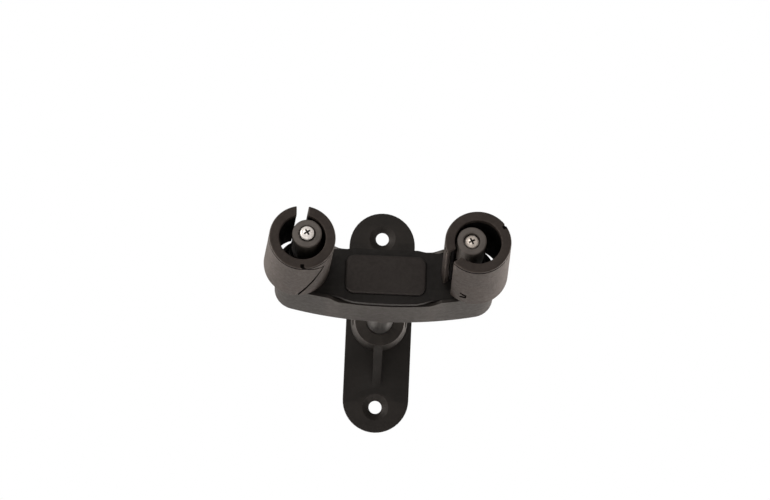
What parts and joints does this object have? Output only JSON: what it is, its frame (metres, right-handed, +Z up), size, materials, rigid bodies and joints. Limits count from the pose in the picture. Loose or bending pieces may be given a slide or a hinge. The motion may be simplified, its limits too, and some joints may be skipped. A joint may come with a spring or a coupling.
{
  "type": "wall guitar hanger",
  "caption": "Wall hanger for a stringed instrument: a wall plate with a bent arm carries a swivelling yoke, whose cushioned eccentric gates turn to hold the neck.",
  "frame": {"origin": "centre of the wall plate's back face, on the wall", "axes": "+Y into the wall, +Z up, +X to the right of somebody who faces the hanger"},
  "size_m": [0.1082, 0.1299, 0.104],
  "materials": {
    "black_nylon": "fine-textured moulded nylon",
    "cushion_rubber": "matte rubber",
    "rest_rubber": "matte rubber",
    "powder_coated_steel": "satin powder coat",
    "plated_steel": "bright zinc plate",
    "white_acetal": "moulded acetal"
  },
  "bodies": {
    "wall_mount": {"wall_plate": "black_nylon", "arm": "powder_coated_steel", "arm_pin": "plated_steel", "stop_collar": "powder_coated_steel", "swivel_bolt": "plated_steel", "swivel_flat_washer": "plated_steel", "swivel_disc_spring": "plated_steel", "swivel_thrust_washer": "white_acetal"},
    "yoke": {"yoke_housing": "black_nylon", "yoke_cover": "black_nylon", "neck_rest": "rest_rubber", "cover_screw_1": "plated_steel", "cover_screw_2": "plated_steel", "cover_screw_3": "plated_steel", "cover_screw_4": "plated_steel", "swivel_bush": "white_acetal", "spindle_left": "plated_steel", "gate_washer_left": "white_acetal", "hub_cap_left": "black_nylon", "gate_screw_left": "plated_steel", "spindle_right": "plated_steel", "gate_washer_right": "white_acetal", "hub_cap_right": "black_nylon", "gate_screw_right": "plated_steel"},
    "gate_left": {"gate_core_left": "black_nylon", "gate_sleeve_left": "cushion_rubber"},
    "gate_right": {"gate_core_right": "black_nylon", "gate_sleeve_right": "cushion_rubber"}
  },
  "joints": [
    {"name": "yoke_swivel", "type": "hinge", "parent": "wall_mount", "child": "yoke", "pos_m": [0, -0.06588, 0.00954], "axis": [0, -0.9659, 0.2588], "range_deg": [-30, 30]},
    {"name": "gate_left_turn", "type": "hinge", "parent": "yoke", "child": "gate_left", "pos_m": [-0.0359, -0.06471, 0.01389], "axis": [0, -0.9659, 0.2588], "continuous": true},
    {"name": "gate_right_turn", "type": "hinge", "parent": "yoke", "child": "gate_right", "pos_m": [0.0359, -0.06471, 0.01389], "axis": [0, -0.9659, 0.2588], "continuous": true}
  ]
}
